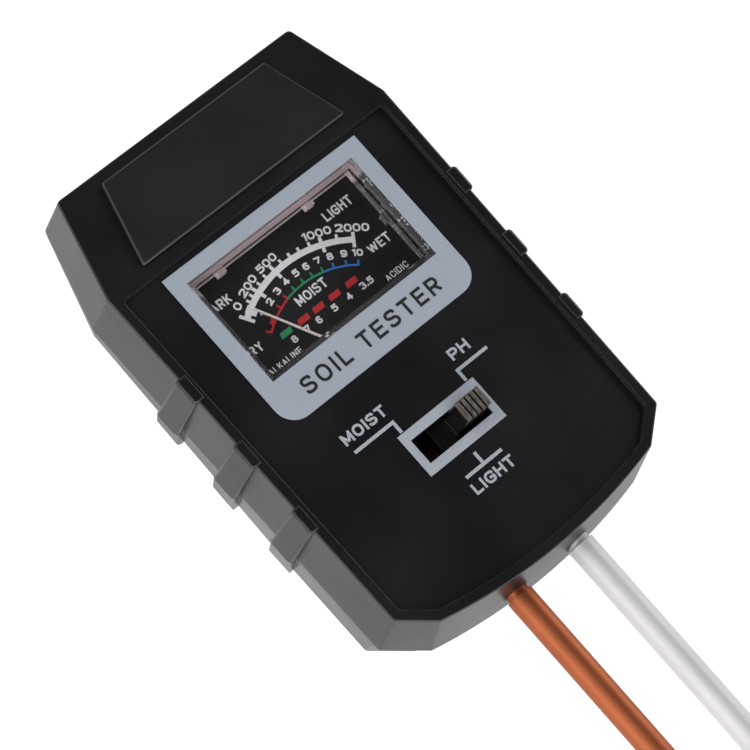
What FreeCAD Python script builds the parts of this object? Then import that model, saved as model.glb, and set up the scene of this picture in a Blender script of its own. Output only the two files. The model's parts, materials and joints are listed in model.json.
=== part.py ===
import FreeCAD, Part
import math
import os

from FreeCAD import Placement, Rotation, Vector

# Garden soil tester: a moulded body with a moving-coil meter, a slide switch,
# a light cell and two probes.  Millimetres.  +Z is out of the face, +Y runs
# towards the light-cell end, +X is to the right of somebody reading the dial.
# The origin is the middle of the flat rear face.

# ---------------------------------------------------------------- body
FACE_Z = 25.0                 # printed face, a shallow recess
RIM_Z = 25.8                  # raised border around the face
PARTING_Z = 11.9              # joint between the front and rear shells
WALL = 2.0
RIM_WIDTH = 1.9
OUTLINE = [                   # corners at rim height, anticlockwise seen from +Z
    (24.7, -45.5),
    (30.6, -40.7),
    (31.4, 30.0),
    (26.25, 48.5),
    (-26.25, 48.5),
    (-31.4, 30.0),
    (-30.6, -40.7),
    (-24.7, -45.5),
]
WALL_LEANS = [4.0, 1.15, 1.15, 1.5, 1.15, 1.15, 4.0]   # degrees, one per straight wall
END_BOW_R = 110.3             # the probe end is a shallow arc
END_BOW_Y = -48.4
END_LEAN = 6.5
SLOPE_Y = 30.0                # fold where the light-cell end starts to slope
SLOPE_DROP = 1.39             # fall of that slope at its far edge
SLOPE_END_Y = 48.5
RECESS_TOP_Y = 28.2

# rear shell: a steep belt that dies out towards the light end, then walls that
# lean in to the flat back
BELT_TOP = 0.5                # belt height at the light end
BELT_BOTTOM = 10.8            # belt height at the probe end
BELT_LEAN = 12.0
BACK_LEAN = 32.0
BACK_END_LEAN = 14.0

# grip ribs
RIB_YS = (9.8, -4.5, -18.8)
RIB_WIDTH = 5.2
RIB_PROUD = 0.75              # at the rim
RIB_LEAN = 3.4                # ribs stand prouder towards the parting
RIB_ROUND = 0.8
RIB_CAP = 0.2                 # height of a rib's top above the rim
RIB_CAP_X = 29.9              # inner end of a rib's top
RIB_PROUD_REAR = 1.2

# ---------------------------------------------------------------- face
LABEL = (-21.83, 21.83, -5.6, 27.0)          # x0, x1, y0, y1
LABEL_THICK = 0.18
LABEL_ROUND = 4.0
WINDOW = (-18.73, 18.73, 2.4, 24.2)
WINDOW_GAP = 0.08
SLOT = (-7.19, 7.19, -24.5, -19.5)

# ---------------------------------------------------------------- light cell
PLATE_BOTTOM = 0.7            # along the slope from the fold
PLATE_TOP = 16.4
PLATE_HALF_BOTTOM = 22.9
PLATE_HALF_TOP = 18.4
PLATE_PROUD = 0.75
PLATE_SUNK = 0.9
CELL_LOW = -2.8               # rear of the cell, measured from the sloped surface

# ---------------------------------------------------------------- meter
PIVOT = (0.0, -3.5)
DIAL_Z = 17.0                 # printed surface of the dial
DIAL_THICK = 0.5
NEEDLE_Z = 18.0
NEEDLE_LONG = 21.3
NEEDLE_REST = 28.4            # degrees left of straight up
STOP_RADIUS = 7.3
STOP_ANGLE = 44.5
COIL_HALF = 7.3
COIL_LOW = 7.0
COIL_HIGH = 15.0
CORE_R = 5.2
YOKE_IN = 8.3
YOKE_OUT = 10.3
UPPER_SPRING_Z = 19.0
LOWER_SPRING_Z = 6.1
SPRING_IN = 0.95
SPRING_OUT = 3.6
SPRING_TURNS = 4.5
SPRING_START = 40.0           # degrees, where the inner end leaves the staff
BRIDGE_Z = 19.6
TERMINAL_Z = 6.5
METER_BOX = (-20.6, 20.6, -15.2, 26.6)
METER_WALL = 1.1
METER_PIN_Y = -17.0

# ---------------------------------------------------------------- switch
SWITCH_X = 0.0
SWITCH_Y = -22.0
SWITCH_TRAVEL = 7.0           # from one end position to the other
KNOB_X = 3.5                  # where the knob rests
KNOB_LONG = 5.2
KNOB_WIDE = 3.8
KNOB_OFF_Y = 0.3               # the knob stands nearer the dial than the foot
KNOB_TOP = 30.0
KNOB_RIDGES = 5
SLIDE_HALF = 6.4              # half length of the sliding foot under the face

# ---------------------------------------------------------------- probes
PROBE_R = 2.5
SHANK_R = 2.1                 # reduced length held inside the body
SHANK_Y = -50.0
PROBE_X = 7.19
PROBE_Z = 15.8
PROBE_IN_Y = -31.5
PROBE_TIP_Y = -231.5
TIP_LONG = 9.0

# ---------------------------------------------------------------- fixings
SHELL_SCREWS = [(20.0, 35.5), (-20.0, 35.5), (22.0, -33.0), (-22.0, -33.0)]
CLAMP_SCREWS = [(-14.2, -36.5), (14.2, -36.5)]
EARS = (-13.6, 13.6)


def box(x0, x1, y0, y1, z0, z1):
    return Part.makeBox(x1 - x0, y1 - y0, z1 - z0, Vector(x0, y0, z0))


def cyl(r, x, y, z0, z1):
    return Part.makeCylinder(r, z1 - z0, Vector(x, y, z0))


def tube(r_out, r_in, x, y, z0, z1):
    return cyl(r_out, x, y, z0, z1).cut(cyl(r_in, x, y, z0, z1))


def prism(points, z0, z1):
    corners = [Vector(x, y, z0) for x, y in points]
    face = Part.Face(Part.makePolygon(corners + corners[:1]))
    return face.extrude(Vector(0, 0, z1 - z0))


def round_upright(shape, radius):
    edges = [e for e in shape.Edges if e.Length > 0 and is_upright(e)]
    return shape.makeFillet(radius, edges)


def is_upright(edge):
    ends = [v.Point for v in edge.Vertexes]
    if len(ends) < 2:
        return False
    run = ends[1].sub(ends[0])
    return abs(run.z) > 0.9 * run.Length


def cut_beyond(shape, point, normal):
    """Remove everything on the outer side of a plane."""
    half = Part.makeBox(500, 500, 250, Vector(-250, -250, 0))
    half.Placement = Placement(point, Rotation(Vector(0, 0, 1), normal))
    return shape.cut(half)


def unit(v):
    return Vector(v.x / v.Length, v.y / v.Length, v.z / v.Length)


def wall_normal(p, q, lean):
    """Outward normal of the wall from p to q, leaning outwards going back."""
    dx = q[0] - p[0]
    dy = q[1] - p[1]
    span = math.hypot(dx, dy)
    a = math.radians(lean)
    return Vector(dy / span * math.cos(a), -dx / span * math.cos(a), math.sin(a))


def front_block(inset, z0, z1, sloped=True):
    """The front shell's outer form, moved in by inset."""
    block = box(-45, 45, -60, 60, z0, z1)
    for i, lean in enumerate(WALL_LEANS):
        p = OUTLINE[i]
        q = OUTLINE[i + 1]
        normal = wall_normal(p, q, lean)
        point = Vector(p[0], p[1], RIM_Z).sub(normal * inset)
        block = cut_beyond(block, point, normal)
    slope = math.tan(math.radians(END_LEAN))
    r_low = END_BOW_R - inset + (RIM_Z - z0) * slope
    r_high = END_BOW_R - inset + (RIM_Z - z1) * slope
    cone = Part.makeCone(r_low, r_high, z1 - z0, Vector(0, END_BOW_Y + END_BOW_R, z0))
    block = block.common(cone)
    if sloped:
        normal = slope_normal()
        point = Vector(0, SLOPE_Y, RIM_Z).sub(normal * inset)
        block = cut_beyond(block, point, normal)
    return block


def slope_angle():
    return math.atan2(SLOPE_DROP, SLOPE_END_Y - SLOPE_Y)


def slope_normal():
    a = slope_angle()
    return Vector(0, math.sin(a), math.cos(a))


def on_slope(shape):
    """Put a shape drawn flat at the origin onto the sloped end."""
    turn = Rotation(Vector(1, 0, 0), -math.degrees(slope_angle()))
    placed = shape.copy()
    placed.Placement = Placement(Vector(0, SLOPE_Y, RIM_Z), turn)
    return placed


def belt_edge(y):
    """Height where the rear shell's upright belt ends."""
    share = (SLOPE_END_Y - y) / (SLOPE_END_Y - END_BOW_Y)
    return PARTING_Z - BELT_TOP - (BELT_BOTTOM - BELT_TOP) * share


def parting_corner(i):
    """Where the outline's corner stands once the leaning walls reach the parting."""
    x, y = OUTLINE[i]
    drop = (RIM_Z - PARTING_Z) * math.tan(math.radians(1.15))
    grow = 1.0 + drop / abs(x)
    return Vector(x * grow, y, PARTING_Z)


def rear_block(inset, z0, z1):
    """The rear shell's outer form, moved in by inset."""
    block = box(-45, 45, -60, 60, z0, z1)
    lean = math.radians(BACK_LEAN)
    for i in range(7):
        p = parting_corner(i)
        q = parting_corner(i + 1)
        flat = wall_normal((p.x, p.y), (q.x, q.y), 0)
        upright = wall_normal((p.x, p.y), (q.x, q.y), -BELT_LEAN)
        block = cut_beyond(block, p.sub(upright * inset), upright)
        low_p = Vector(p.x, p.y, belt_edge(p.y))
        low_q = Vector(q.x, q.y, belt_edge(q.y))
        inwards = Vector(-flat.x * math.sin(lean), -flat.y * math.sin(lean), -math.cos(lean))
        normal = unit(inwards.cross(low_q.sub(low_p)))
        if normal.dot(flat) < 0:
            normal = normal * -1
        block = cut_beyond(block, low_p.sub(normal * inset), normal)
    slope = math.tan(math.radians(BACK_END_LEAN))
    r_part = END_BOW_R - inset + (RIM_Z - PARTING_Z) * math.tan(math.radians(END_LEAN))
    r_low = r_part - (PARTING_Z - z0) * slope
    r_high = r_part - (PARTING_Z - z1) * slope
    cone = Part.makeCone(r_low, r_high, z1 - z0, Vector(0, END_BOW_Y + END_BOW_R, z0))
    return block.common(cone)


def rib_strips(z0, z1):
    """Upright strips, one for every rib."""
    strips = []
    for y in RIB_YS:
        strip = box(-40, 40, y - RIB_WIDTH / 2, y + RIB_WIDTH / 2, z0, z1)
        strips.append(strip)
    return strips[0].multiFuse(strips[1:])


def front_ribs():
    """Grip ribs down both long walls, each with a low top standing on the rim."""
    ribs = rib_strips(PARTING_Z, RIM_Z + RIB_CAP)
    for i in (1, 5):
        p = OUTLINE[i]
        q = OUTLINE[i + 1]
        normal = wall_normal(p, q, WALL_LEANS[i] + RIB_LEAN)
        point = Vector(p[0], p[1], RIM_Z) + normal * RIB_PROUD
        ribs = cut_beyond(ribs, point, normal)
    ribs = ribs.cut(box(-RIB_CAP_X, RIB_CAP_X, -60, 60, 0, 60))
    outer = [e for e in ribs.Edges if is_upright(e) and abs(e.CenterOfMass.x) > 31.0]
    ribs = ribs.makeFillet(RIB_ROUND, outer)
    top = [e for e in ribs.Edges if e.BoundBox.ZMin > RIM_Z + RIB_CAP - 0.01]
    brow = [e for e in top if abs(e.CenterOfMass.x) > 31.0]
    return ribs.makeFillet(0.55, brow)


def round_rim(shape, radius):
    """Soften the edge between the upper faces and the outer walls."""
    upper = [f for f in shape.Faces if f.CenterOfMass.z > 23.5 and f.normalAt(0, 0).z > 0.9]
    edges = []
    for face in upper:
        for edge in face.Edges:
            shared = any(edge.isSame(other) for o in upper if o is not face for other in o.Edges)
            if not shared:
                edges.append(edge)
    return shape.makeFillet(radius, edges)


def screw(x, y, z_head, z_tip, r_shaft, r_head, head_high, up=1):
    """Pan-head screw with a cross recess; up=1 points the tip to +Z."""
    shaft_low = min(z_head, z_tip)
    shaft_high = max(z_head, z_tip)
    body = cyl(r_shaft, x, y, shaft_low, shaft_high)
    head_z = z_head - head_high if up > 0 else z_head
    head = cyl(r_head, x, y, head_z, head_z + head_high)
    outer = [e for e in head.Edges if e.BoundBox.ZMax < head_z + 0.01]
    if up < 0:
        outer = [e for e in head.Edges if e.BoundBox.ZMin > head_z + head_high - 0.01]
    head = head.makeFillet(head_high * 0.35, outer)
    slot_z = head_z - 0.01 if up > 0 else head_z + head_high * 0.45
    arm = r_head * 0.55
    thick = r_head * 0.13
    deep = head_high * 0.56
    cross = box(x - arm, x + arm, y - thick, y + thick, slot_z, slot_z + deep)
    cross = cross.fuse(box(x - thick, x + thick, y - arm, y + arm, slot_z, slot_z + deep))
    return body.fuse(head).cut(cross).removeSplitter()


def rounded_box(x0, x1, y0, y1, z0, z1, radius):
    return round_upright(box(x0, x1, y0, y1, z0, z1), radius)


# ================================================================ front shell
def make_front_shell():
    body = front_block(0, PARTING_Z, RIM_Z + 1)
    body = body.common(box(-60, 60, -60, 60, PARTING_Z, RIM_Z))
    body = round_upright(body, 1.0)
    body = round_rim(body, 0.35)
    body = body.fuse(front_ribs())

    recess = front_block(RIM_WIDTH, FACE_Z, RIM_Z + 2, sloped=False)
    recess = recess.common(box(-60, 60, -60, RECESS_TOP_Y, FACE_Z, RIM_Z + 2))
    recess = round_upright(recess, 0.9)
    body = body.cut(recess)

    cavity = front_block(WALL, PARTING_Z - 1, FACE_Z - WALL)
    cavity = cavity.common(box(-60, 60, -60, 60, PARTING_Z - 1, FACE_Z - WALL))
    body = body.cut(cavity)

    gap = WINDOW_GAP
    x0, x1, y0, y1 = WINDOW
    body = body.cut(box(x0 - gap, x1 + gap, y0 - gap, y1 + gap, FACE_Z - 4, FACE_Z + 1))
    x0, x1, y0, y1 = SLOT
    body = body.cut(box(x0, x1, y0, y1, FACE_Z - 4, FACE_Z + 1))
    body = body.cut(on_slope(plate_outline(0.05, -PLATE_SUNK, 2)))
    body = body.cut(on_slope(box(-12.5, 12.5, 3.2, 14.0, -5, 1)))

    inside_top = FACE_Z - WALL + 0.3
    for x, y in SHELL_SCREWS:
        boss = cyl(3.0, x, y, PARTING_Z, inside_top)
        web_x = x + math.copysign(6.0, x)
        web = box(min(x, web_x), max(x, web_x), y - 0.6, y + 0.6, PARTING_Z + 3, inside_top)
        web = web.common(front_block(WALL - 0.2, PARTING_Z, FACE_Z - WALL + 0.5))
        body = body.fuse(boss).fuse(web)
        body = body.cut(cyl(1.32, x, y, PARTING_Z - 1, PARTING_Z + 8.5))
    for x, y in CLAMP_SCREWS:
        boss = cyl(2.6, x, y, PROBE_Z + 0.1, inside_top)
        body = body.fuse(boss)
        body = body.cut(cyl(1.02, x, y, PROBE_Z - 1, PROBE_Z + 5.6))
    for x in EARS:
        body = body.cut(cyl(0.82, x, SWITCH_Y, FACE_Z - WALL - 1, FACE_Z - 0.8))

    # cradles that carry the probes, and the holes they leave by
    cradle = box(-11.4, 11.4, -40.6, -38.4, PROBE_Z, inside_top)
    cradle = cradle.fuse(box(-11.4, 11.4, -34.2, -32.4, PROBE_Z, inside_top))
    body = body.fuse(cradle)
    for x in (-PROBE_X, PROBE_X):
        body = body.cut(probe_rod(x, SHANK_R + 0.03, -56.0, PROBE_IN_Y))
    return body.removeSplitter()


def plate_outline(gap, z0, z1):
    corners = [
        (-PLATE_HALF_BOTTOM - gap, PLATE_BOTTOM - gap),
        (PLATE_HALF_BOTTOM + gap, PLATE_BOTTOM - gap),
        (PLATE_HALF_TOP + gap, PLATE_TOP + gap),
        (-PLATE_HALF_TOP - gap, PLATE_TOP + gap),
    ]
    return round_upright(prism(corners, z0, z1), 0.45)


def probe_rod(x, r, y0, y1):
    return Part.makeCylinder(r, y1 - y0, Vector(x, y0, PROBE_Z), Vector(0, 1, 0))


# ================================================================ rear shell
def make_rear_shell():
    body = rear_block(0, 0, PARTING_Z)
    body = round_upright(body, 1.0)
    proud = rear_block(-RIB_PROUD_REAR, 0, PARTING_Z)
    ribs = proud.common(rib_strips(2.0, PARTING_Z))
    ribs = ribs.cut(rear_block(1.5, -1, PARTING_Z + 1))
    body = body.fuse(ribs)
    cavity = rear_block(WALL, 0, PARTING_Z + 1)
    cavity = cavity.common(box(-60, 60, -60, 60, WALL, PARTING_Z + 1))
    body = body.cut(cavity)
    for x, y in SHELL_SCREWS:
        body = body.fuse(cyl(3.6, x, y, 0.5, PARTING_Z))
        body = body.cut(cyl(2.9, x, y, -1, 4.0))
        body = body.cut(cyl(1.6, x, y, 0, PARTING_Z + 1))
    # lip that keys into the front shell
    lip = front_block(WALL + 0.08, PARTING_Z - 1.2, PARTING_Z + 1.2, sloped=False)
    lip = lip.cut(front_block(WALL + 1.1, PARTING_Z - 2, PARTING_Z + 2, sloped=False))
    for x, y in SHELL_SCREWS:
        web_x = x + math.copysign(7.0, x)
        lip = lip.cut(box(min(x, web_x), max(x, web_x), y - 4.2, y + 4.2, 0, 20))
    body = body.fuse(lip.common(box(-60, 60, -60, 60, PARTING_Z - 1.2, 20)))
    # ribs that hold the meter down and stop the floor drumming
    for x in (-12.0, 12.0):
        body = body.fuse(box(x - 0.6, x + 0.6, -18.0, 30.0, WALL - 0.5, 3.6))
    return body.removeSplitter()


def make_shell_screws():
    screws = [screw(x, y, 4.0, 19.5, 1.3, 2.5, 1.9) for x, y in SHELL_SCREWS]
    return Part.makeCompound(screws)


# ================================================================ face trim
def make_label():
    x0, x1, y0, y1 = LABEL
    plate = box(x0, x1, y0, y1, FACE_Z, FACE_Z + LABEL_THICK)
    low = [e for e in plate.Edges if is_upright(e) and e.BoundBox.YMax < y0 + 0.1]
    plate = plate.makeFillet(LABEL_ROUND, low)
    x0, x1, y0, y1 = WINDOW
    return plate.cut(box(x0, x1, y0, y1, FACE_Z - 1, FACE_Z + 1))


# ================================================================ light cell
def make_light_window():
    plate = plate_outline(0, -PLATE_SUNK, PLATE_PROUD)
    top = [e for e in plate.Edges if e.BoundBox.ZMin > PLATE_PROUD - 0.01]
    return on_slope(plate.makeChamfer(0.3, top))


def make_photocell():
    return on_slope(box(-11.5, 11.5, 4.0, 13.2, CELL_LOW, -PLATE_SUNK - 0.1))


def make_cell_board():
    low = CELL_LOW - 1.1
    board = box(-13.5, 13.5, 2.6, 14.6, low, CELL_LOW - 0.05)
    for x in (-9.0, 9.0):
        board = board.cut(Part.makeCylinder(0.5, 3, Vector(x, 3.4, low - 1)))
    return on_slope(board)


# ================================================================ meter
def make_meter_base():
    x0, x1, y0, y1 = METER_BOX
    top = DIAL_Z - DIAL_THICK
    outer = rounded_box(x0, x1, y0, y1, 3.7, top, 1.5)
    w = METER_WALL
    inner = rounded_box(x0 + w, x1 - w, y0 + w, y1 - w, 3.7 + w, top + 1, 0.8)
    base = outer.cut(inner)
    for x, y in dial_posts():
        base = base.fuse(cyl(1.7, x, y, 4.0, top))
        base = base.cut(cyl(0.62, x, y, top - 4, top + 1))
    for x, y in bridge_posts():
        base = base.fuse(cyl(1.9, x, y, 4.0, BRIDGE_Z))
        base = base.cut(cyl(0.62, x, y, BRIDGE_Z - 4, BRIDGE_Z + 1))
    base = base.fuse(tube(YOKE_OUT + 1.1, YOKE_OUT + 0.05, PIVOT[0], PIVOT[1], 4.0, 8.6)
                     .common(box(x0, x1, y0 + 0.3, y1, 0, 20)))
    base = base.fuse(tube(YOKE_OUT, YOKE_IN + 0.3, PIVOT[0], PIVOT[1], 4.0, 7.5))
    base = base.fuse(cyl(2.3, PIVOT[0], PIVOT[1], 4.0, 5.0))
    base = base.cut(cyl(1.5, PIVOT[0], PIVOT[1], 3, 6))
    anchor = box(SPRING_OUT + 0.06, SPRING_OUT + 0.6, -0.4, 0.4, 4.5, LOWER_SPRING_Z + 0.3)
    base = base.fuse(at_spring_end(anchor))
    for x in (-17.0, 17.0):
        base = base.cut(meter_pin(x, 0.78))
    return base.removeSplitter()


def meter_pin(x, r):
    return Part.makeCylinder(r, 4.4, Vector(x, METER_PIN_Y, TERMINAL_Z), Vector(0, 1, 0))


def at_spring_end(shape):
    """Turn a shape drawn along +X round the staff to where the springs end."""
    placed = shape.copy()
    placed.translate(Vector(PIVOT[0], PIVOT[1], 0))
    end = SPRING_START + 360.0 * SPRING_TURNS
    placed.rotate(Vector(PIVOT[0], PIVOT[1], 0), Vector(0, 0, 1), end)
    return placed


def dial_posts():
    return [(-16.4, 1.8), (16.4, 1.8)]


def bridge_posts():
    return [(-13.6, PIVOT[1]), (13.6, PIVOT[1])]


def make_meter_terminals():
    pins = []
    for x in (-17.0, 17.0):
        inner = METER_BOX[2] + METER_WALL
        collar = Part.makeCylinder(1.3, 0.5, Vector(x, inner, TERMINAL_Z), Vector(0, 1, 0))
        pins.append(meter_pin(x, 0.75).fuse(collar).removeSplitter())
    return Part.makeCompound(pins)


def make_meter_cover():
    """Clear lid: a shallow box with a taller part that fills the window."""
    x0, x1, y0, y1 = METER_BOX
    w = METER_WALL
    low = DIAL_Z - DIAL_THICK
    lid = rounded_box(x0, x1, y0, y1, low, FACE_Z - WALL, 1.5)
    lid = lid.cut(rounded_box(x0 + w, x1 - w, y0 + w, y1 - w, low - 1, FACE_Z - WALL - w, 0.8))
    wx0, wx1, wy0, wy1 = WINDOW
    top = FACE_Z + 0.1
    pane = rounded_box(wx0, wx1, wy0, wy1, FACE_Z - WALL - 2.4, top, 0.4)
    pane = pane.makeChamfer(0.25, [e for e in pane.Edges if e.BoundBox.ZMin > top - 0.01])
    lid = lid.fuse(pane)
    lid = lid.cut(rounded_box(wx0 + w, wx1 - w, wy0 + w, wy1 - w, low - 1, top - 1.2, 0.3))
    # small moulded hooks hang from the pane's skirt
    for x in (-11.6, 8.4):
        lid = lid.fuse(box(x - 0.9, x + 0.9, wy1 - w - 0.8, wy1 - w + 0.2, FACE_Z - 4.4, FACE_Z - 2.9))
    for x, y in ((wx1 - w, 13.0), (wx0 + w, 19.0)):
        lid = lid.fuse(box(x - 0.7, x + 0.7, y - 0.9, y + 0.9, FACE_Z - 4.4, FACE_Z - 2.9))
    return lid.removeSplitter()


def make_dial():
    x0, x1, y0, y1 = METER_BOX
    gap = METER_WALL + 0.15
    plate = rounded_box(x0 + gap, x1 - gap, -1.0, y1 - gap, DIAL_Z - DIAL_THICK, DIAL_Z, 0.9)
    plate = plate.cut(cyl(6.5, PIVOT[0], PIVOT[1], 10, 20))
    for x, y in bridge_posts():
        plate = plate.cut(cyl(2.2, x, y, 10, 20))
    for x, y in dial_posts():
        plate = plate.cut(cyl(0.75, x, y, 10, 20))
    return plate


def make_dial_screws():
    return Part.makeCompound([
        screw(x, y, DIAL_Z, DIAL_Z - 3.6, 0.6, 1.25, 0.6, up=-1) for x, y in dial_posts()
    ])


def make_yoke():
    ring = tube(YOKE_OUT, YOKE_IN, PIVOT[0], PIVOT[1], 7.5, 14.4)
    for turn in (0, 180):
        y = PIVOT[1] + (9.3 if turn == 0 else -9.3)
        ring = ring.cut(box(-1.0, 1.0, y - 2, y + 2, 9.8, 12.2))
    return ring


def make_core():
    core = cyl(CORE_R, PIVOT[0], PIVOT[1], 8.7, 13.3)
    return core.cut(box(-1.0, 1.0, -20, 20, 9.8, 12.2))


def make_core_clip():
    """Bar through the core whose ends rest in the yoke's notches."""
    y = PIVOT[1]
    return box(-0.95, 0.95, y - YOKE_OUT + 0.4, y + YOKE_OUT - 0.4, 9.85, 12.15)


def turned(shape):
    """Turn from straight up to the rest reading."""
    placed = shape.copy()
    placed.rotate(Vector(PIVOT[0], PIVOT[1], 0), Vector(0, 0, 1), NEEDLE_REST)
    return placed


def make_coil():
    """Aluminium former with its winding, free between core and yoke."""
    x, y = PIVOT
    half = 1.15
    outer = box(x - COIL_HALF, x + COIL_HALF, y - half, y + half, COIL_LOW, COIL_HIGH)
    hole = box(x - COIL_HALF + 1.3, x + COIL_HALF - 1.3, y - 2, y + 2, COIL_LOW + 1.1, COIL_HIGH - 1.1)
    coil = outer.cut(hole)
    long_edges = [e for e in coil.Edges if e.Length > 2 * COIL_HALF - 0.1]
    coil = coil.makeFillet(0.35, long_edges)
    return turned(coil)


def make_staff():
    """Upper and lower steel pivots on their seats."""
    x, y = PIVOT
    upper = cyl(1.3, x, y, COIL_HIGH, COIL_HIGH + 0.4).fuse(cyl(0.4, x, y, COIL_HIGH, 19.9))
    upper = upper.fuse(Part.makeCone(0.4, 0.05, 0.6, Vector(x, y, 19.9)))
    lower = cyl(1.3, x, y, COIL_LOW - 0.4, COIL_LOW).fuse(cyl(0.4, x, y, 5.4, COIL_LOW))
    lower = lower.fuse(Part.makeCone(0.05, 0.4, 0.6, Vector(x, y, 4.8)))
    return Part.makeCompound([upper.removeSplitter(), lower.removeSplitter()])


def make_needle():
    """Thin pointer that widens to its hub and carries a cross tail."""
    x, y = PIVOT
    tip = y + NEEDLE_LONG
    blade = prism([(x - 0.30, y), (x + 0.30, y), (x + 0.16, tip), (x - 0.16, tip)],
                  NEEDLE_Z, NEEDLE_Z + 0.22)
    tail = box(x - 0.35, x + 0.35, y - 6.2, y, NEEDLE_Z, NEEDLE_Z + 0.22)
    cross = box(x - 5.9, x + 5.9, y - 0.3, y + 0.3, NEEDLE_Z, NEEDLE_Z + 0.22)
    hub = cyl(1.1, x, y, NEEDLE_Z - 0.3, NEEDLE_Z + 0.5)
    arm = blade.fuse(tail).fuse(cross).fuse(hub).cut(cyl(0.4, x, y, 10, 25))
    return turned(arm.removeSplitter())


def make_weights():
    """Wire coils slid along the tail and the cross arms to balance the pointer."""
    x, y = PIVOT
    weights = []
    for cx, cy, along in ((0, -4.9, "y"), (-4.8, 0, "x"), (4.8, 0, "x")):
        hole = box(x + cx - 0.42, x + cx + 0.42, y + cy - 2, y + cy + 2, NEEDLE_Z, NEEDLE_Z + 0.22)
        start = Vector(x + cx, y + cy - 0.9, NEEDLE_Z + 0.11)
        axis = Vector(0, 1, 0)
        if along == "x":
            hole = box(x + cx - 2, x + cx + 2, y + cy - 0.42, y + cy + 0.42, NEEDLE_Z, NEEDLE_Z + 0.22)
            start = Vector(x + cx - 0.9, y + cy, NEEDLE_Z + 0.11)
            axis = Vector(1, 0, 0)
        weights.append(turned(Part.makeCylinder(0.6, 1.8, start, axis).cut(hole)))
    return Part.makeCompound(weights)


def make_hairspring(z, wide=0.09, high=0.3):
    """Flat spiral swept as one ribbon."""
    count = int(SPRING_TURNS * 16)
    points = []
    for i in range(count + 1):
        share = i / count
        angle = math.radians(SPRING_START + share * SPRING_TURNS * 360.0)
        r = SPRING_IN + (SPRING_OUT - SPRING_IN) * share
        points.append(Vector(PIVOT[0] + r * math.cos(angle), PIVOT[1] + r * math.sin(angle), z))
    curve = Part.BSplineCurve()
    curve.interpolate(points)
    path = Part.Wire(curve.toShape())
    start = curve.value(curve.FirstParameter)
    way = Vector(*curve.tangent(curve.FirstParameter)[0])
    side = Vector(0, 0, 1).cross(way)
    corners = []
    for across, up in ((-1, -1), (1, -1), (1, 1), (-1, 1)):
        corners.append(start + side * (across * wide / 2) + Vector(0, 0, up * high / 2))
    profile = Part.Wire(Part.makePolygon(corners + corners[:1]))
    return path.makePipeShell([profile], True, True)


def make_bridge():
    """Aluminium bar over the coil that carries the upper bearing screw."""
    x, y = PIVOT
    bar = rounded_box(x - 15.6, x + 15.6, y - 2.1, y + 2.1, BRIDGE_Z, BRIDGE_Z + 1.0, 1.6)
    boss = cyl(2.2, x, y, BRIDGE_Z + 1.0, BRIDGE_Z + 1.5)
    bridge = bar.fuse(boss).cut(cyl(1.5, x, y, 18, 22))
    for px, py in bridge_posts():
        bridge = bridge.cut(cyl(0.75, px, py, 18, 22))
    return bridge.removeSplitter()


def make_bridge_screws():
    return Part.makeCompound([
        screw(x, y, BRIDGE_Z + 1.0, BRIDGE_Z - 3.5, 0.6, 1.3, 0.7, up=-1)
        for x, y in bridge_posts()
    ])


def bearing(z0, z1, slot_z, cup_z0, cup_z1):
    """Jewel screw: driver slot at one end, a cup for the pivot at the other."""
    x, y = PIVOT
    body = cyl(1.45, x, y, z0, z1)
    body = body.cut(box(x - 2, x + 2, y - 0.15, y + 0.15, slot_z, slot_z + 0.35))
    return body.cut(cyl(0.75, x, y, cup_z0, cup_z1))


def make_bearing_screws():
    upper = bearing(BRIDGE_Z + 0.05, BRIDGE_Z + 2.05, BRIDGE_Z + 1.7, BRIDGE_Z - 1, BRIDGE_Z + 1.1)
    lower = bearing(3.75, 5.4, 3.75, 4.65, 6.0)
    return Part.makeCompound([upper, lower])


def make_zero_arm():
    """Arm clamped under the bridge that anchors the upper spring's outer end."""
    x, y = PIVOT
    low = BRIDGE_Z - 0.32
    high = BRIDGE_Z - 0.05
    ring = tube(2.1, 1.5, x, y, low, high)
    arm = box(1.8, SPRING_OUT + 0.6, -0.4, 0.4, low, high)
    finger = box(SPRING_OUT + 0.06, SPRING_OUT + 0.6, -0.4, 0.4, UPPER_SPRING_Z - 0.1, high)
    return ring.fuse(at_spring_end(arm.fuse(finger))).removeSplitter()


def make_stop_posts():
    """Posts that end the pointer's swing on either side."""
    posts = []
    for side in (-1, 1):
        angle = math.radians(90 - side * STOP_ANGLE)
        x = PIVOT[0] + STOP_RADIUS * math.cos(angle)
        y = PIVOT[1] + STOP_RADIUS * math.sin(angle)
        posts.append(cyl(0.35, x, y, DIAL_Z, NEEDLE_Z + 0.7))
    return Part.makeCompound(posts)


# ================================================================ switch
def make_switch_can():
    """Folded steel cover of the slide switch, with two ears."""
    top = FACE_Z - WALL
    x, y = SWITCH_X, SWITCH_Y
    inside = SWITCH_TRAVEL / 2 + SLIDE_HALF + 0.6
    outside = inside + 0.5
    can = box(x - outside, x + outside, y - 4.4, y + 4.4, top - 5.2, top)
    can = can.cut(box(x - inside, x + inside, y - 3.9, y + 3.9, top - 6, top - 0.5))
    for side in (-1, 1):
        ear = rounded_box(x + side * 13.3 - 2.7, x + side * 13.3 + 2.7, y - 2.6, y + 2.6, top - 0.5, top, 0.9)
        can = can.fuse(ear)
    can = can.cut(box(x - 7.3, x + 7.3, y - 2.6, y + 2.6, top - 2, top + 1))
    for ear_x in EARS:
        can = can.cut(cyl(0.95, ear_x, y, top - 2, top + 1))
    return can.removeSplitter()


def make_switch_board():
    top = FACE_Z - WALL
    x, y = SWITCH_X, SWITCH_Y
    board = box(x - 10.9, x + 10.9, y - 4.35, y + 4.35, top - 6.4, top - 5.2)
    for tx, ty in terminal_places():
        board = board.cut(box(tx - 0.65, tx + 0.65, ty - 0.3, ty + 0.3, top - 8, top - 4))
    return board


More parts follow.
